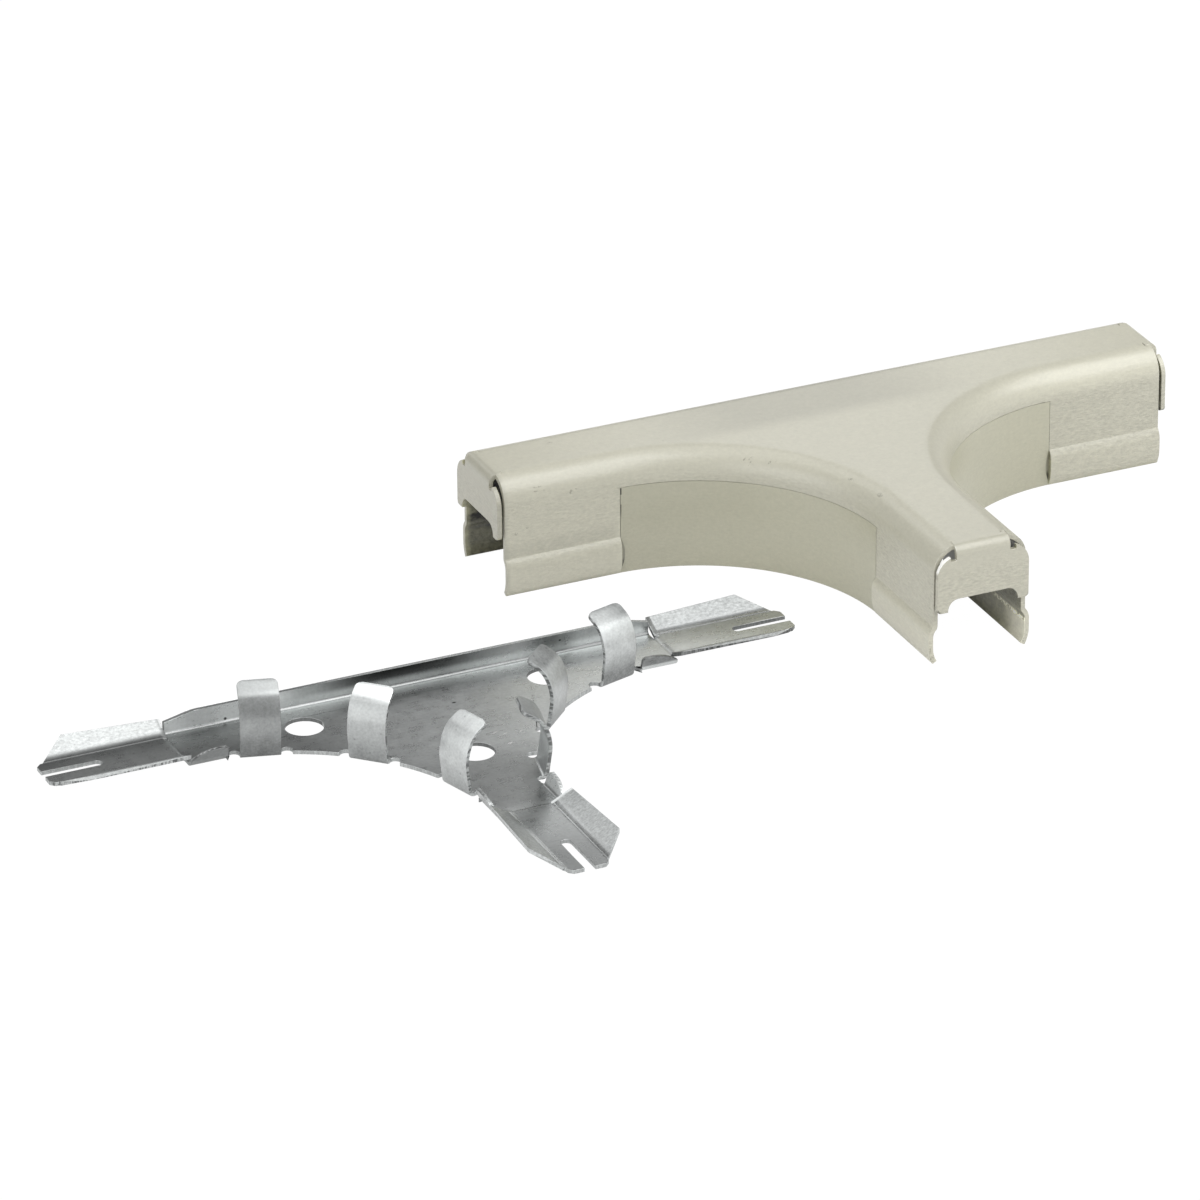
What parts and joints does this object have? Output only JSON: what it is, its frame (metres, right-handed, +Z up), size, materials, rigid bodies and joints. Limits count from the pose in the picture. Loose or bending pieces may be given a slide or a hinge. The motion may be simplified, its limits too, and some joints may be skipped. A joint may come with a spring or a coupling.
{
  "type": "trunking tee fitting",
  "caption": "Flat tee fitting for steel surface raceway, taken apart: a painted cover with radiused throats and folded end flaps, beside the plated base plate that it clips over",
  "frame": {"origin": "middle of the common footprint of both pieces, on the floor", "axes": "+X along the run of the tee to the right, +Y to the back wall side, +Z up; the branches point to -Y"},
  "size_m": [0.2524, 0.1308, 0.0244],
  "materials": {
    "cover_paint": "satin",
    "base_zinc": "satin"
  },
  "bodies": {
    "root": {"cover": "cover_paint", "right_throat_strip": "cover_paint", "left_throat_strip": "cover_paint", "base": "base_zinc"}
  },
  "joints": []
}
